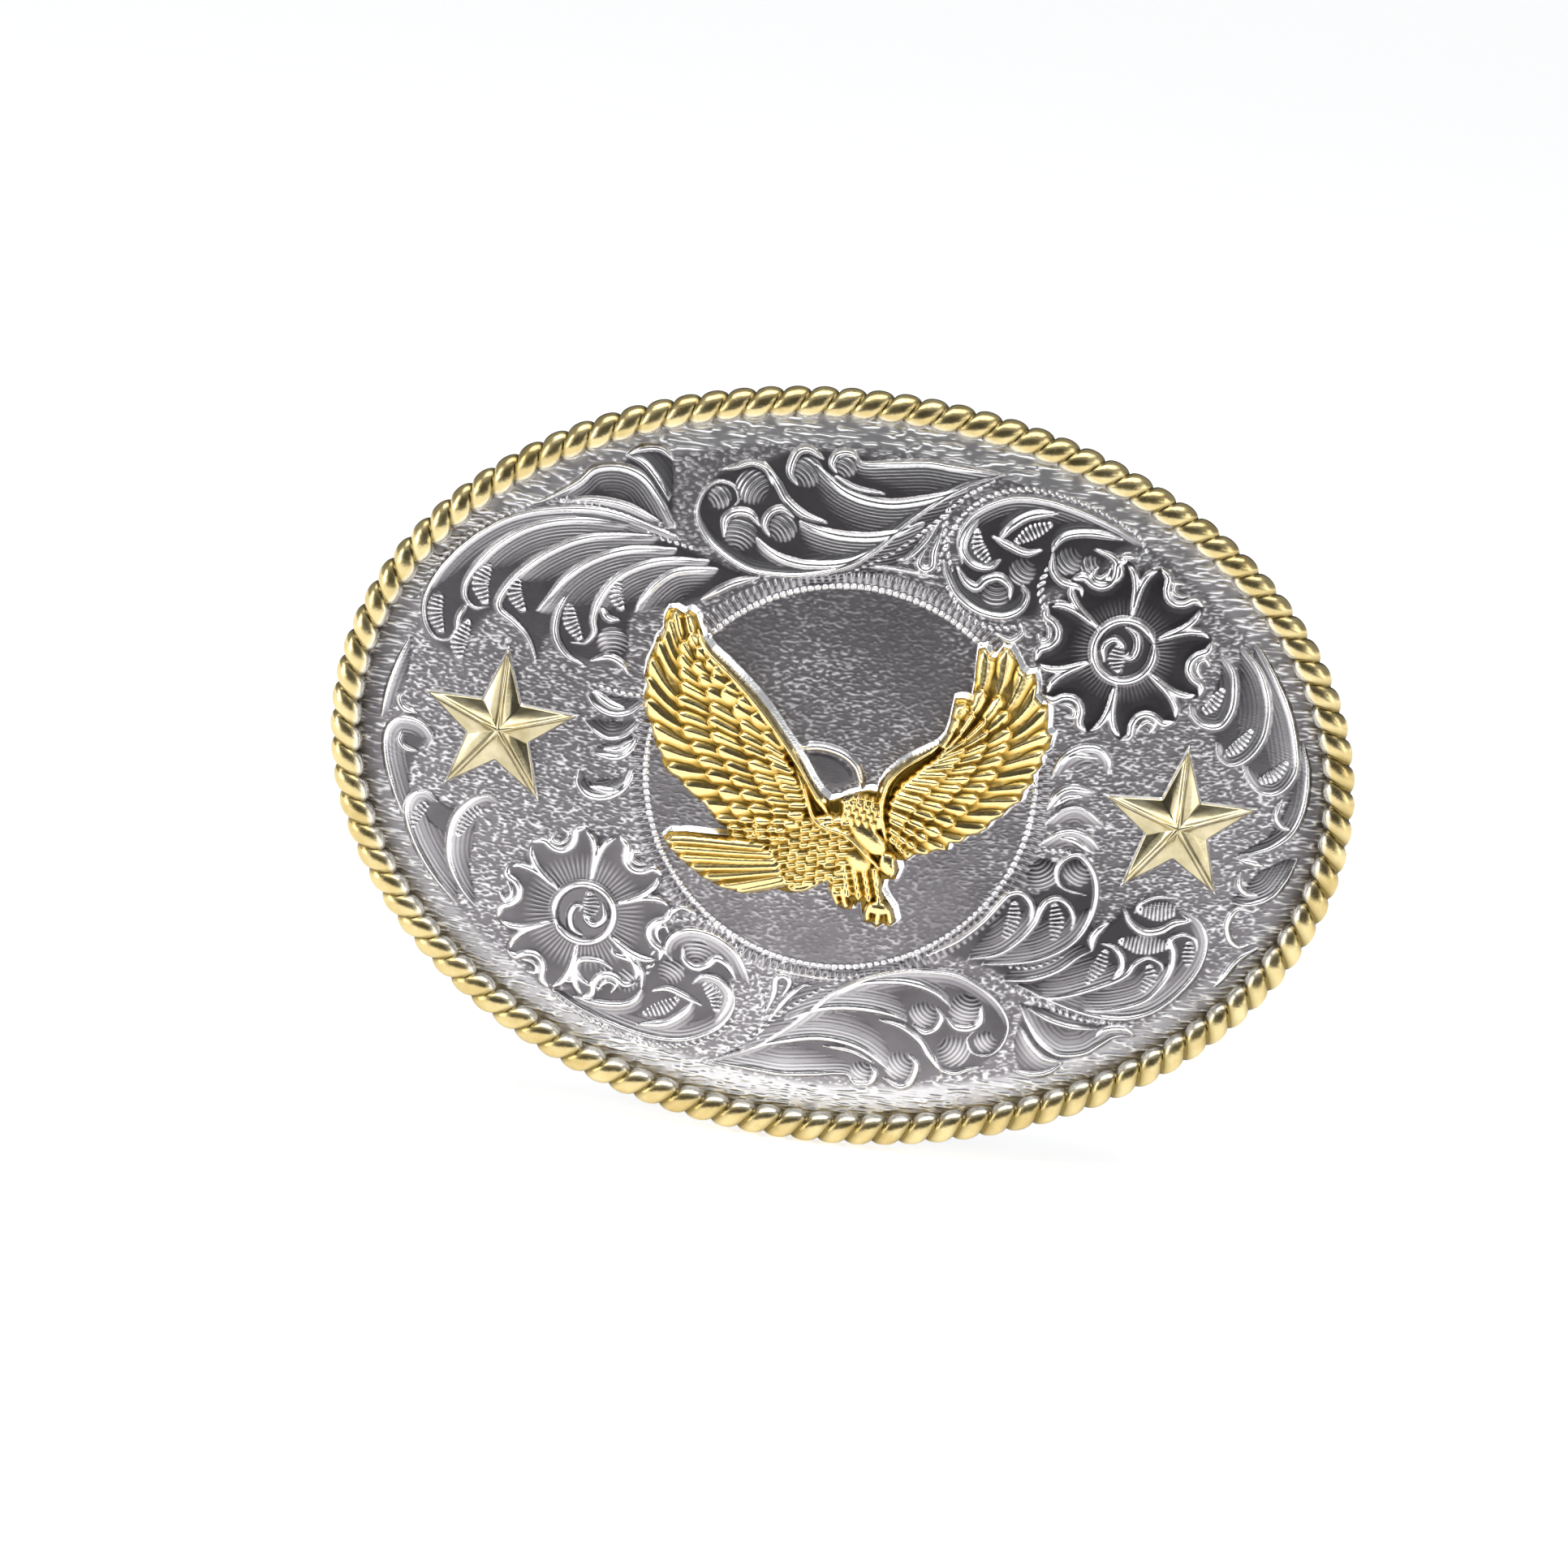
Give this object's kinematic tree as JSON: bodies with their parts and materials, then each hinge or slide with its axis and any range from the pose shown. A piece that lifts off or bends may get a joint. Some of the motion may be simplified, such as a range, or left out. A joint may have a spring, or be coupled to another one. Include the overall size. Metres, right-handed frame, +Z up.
{
  "type": "belt buckle",
  "caption": "Oval domed western belt buckle with an engraved silver face, a gold rope edge, an eagle and stars, a swinging wire bail and a rear hook.",
  "frame": {"origin": "centre of the concave rear surface of the back plate, where the belt lies against the buckle", "axes": "+X along the belt, towards the viewer's right; +Y backwards, towards the wearer; +Z up; the decorated face looks along -Y"},
  "size_m": [0.108, 0.0165, 0.0804],
  "materials": {
    "silver_plate": "bright silver plate with a stippled ground",
    "nickel_back": "brushed nickel plate",
    "gold_rope": "bright pale gold plate",
    "gold_eagle": "bright rich gold plate",
    "gold_star": "satin pale gold plate",
    "nickel_fitting": "satin nickel plate",
    "nickel_wire": "polished nickel plate"
  },
  "bodies": {
    "buckle": {"face_plate": "silver_plate", "back_plate": "nickel_back", "rope_edge": "gold_rope", "eagle": "gold_eagle", "star_left": "gold_star", "star_right": "gold_star", "bail_bracket": "nickel_fitting", "hook_plate": "nickel_fitting", "hook_post": "nickel_fitting"},
    "bail": {"bail_loop": "nickel_wire"}
  },
  "joints": [
    {"name": "bail_swing", "type": "hinge", "parent": "buckle", "child": "bail", "pos_m": [0.024, 0.006, 0], "axis": [0, 0, 1], "range_deg": [-4, 160]}
  ]
}
